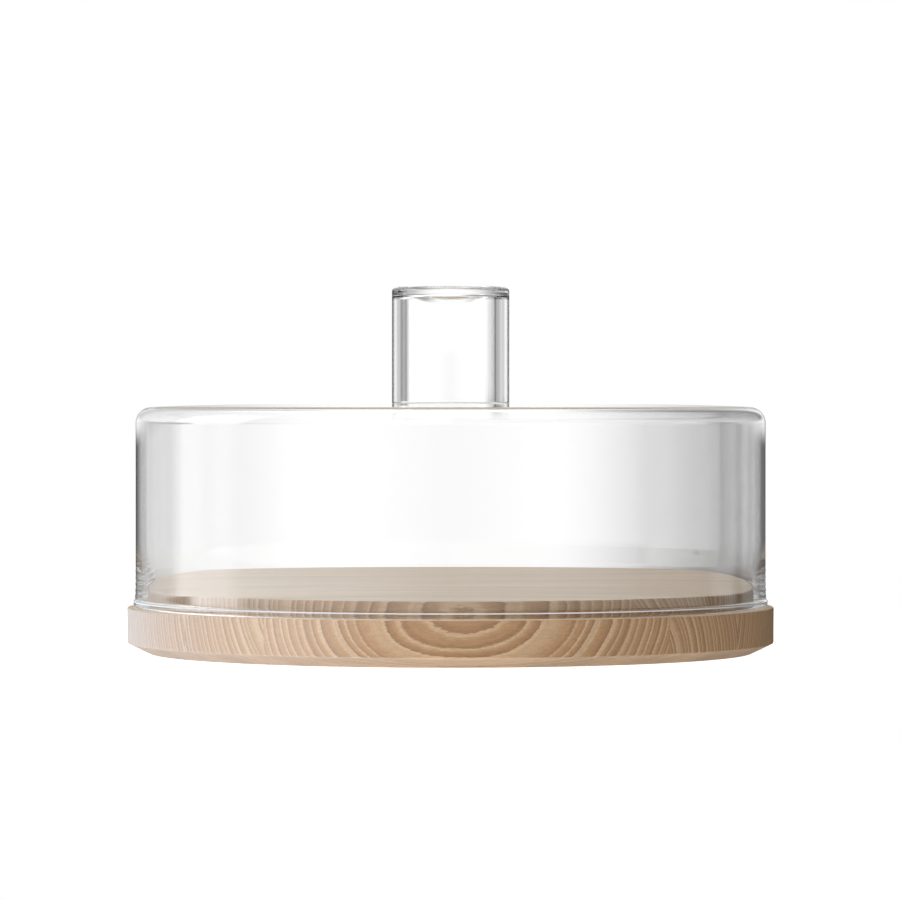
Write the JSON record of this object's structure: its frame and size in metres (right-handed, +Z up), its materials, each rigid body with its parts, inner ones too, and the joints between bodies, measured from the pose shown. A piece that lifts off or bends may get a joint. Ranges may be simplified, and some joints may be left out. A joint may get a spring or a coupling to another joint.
{
  "type": "cake stand dome",
  "caption": "Round wooden cake board with a raised centre and a lift-off clear glass dome that rests on its ledge, with a hollow cylindrical handle.",
  "frame": {"origin": "centre of the board's underside", "axes": "+Z up along the axis of the board and the dome; the staves run 3.5 degrees off +X"},
  "size_m": [0.32, 0.32, 0.1809],
  "materials": {
    "ash": "pale ash, finely sanded, matt oil",
    "clear_glass": "clear, smooth, blown"
  },
  "bodies": {
    "base": {"stave_1": "ash", "stave_2": "ash", "stave_3": "ash", "stave_4": "ash", "stave_5": "ash", "stave_6": "ash", "stave_7": "ash", "stave_8": "ash", "stave_9": "ash"},
    "dome": {"dome_shell": "clear_glass", "handle": "clear_glass"}
  },
  "joints": [
    {"name": "dome_lift", "type": "slide", "parent": "base", "child": "dome", "axis": [0, 0, 1], "range_m": [0, 0.13]}
  ]
}
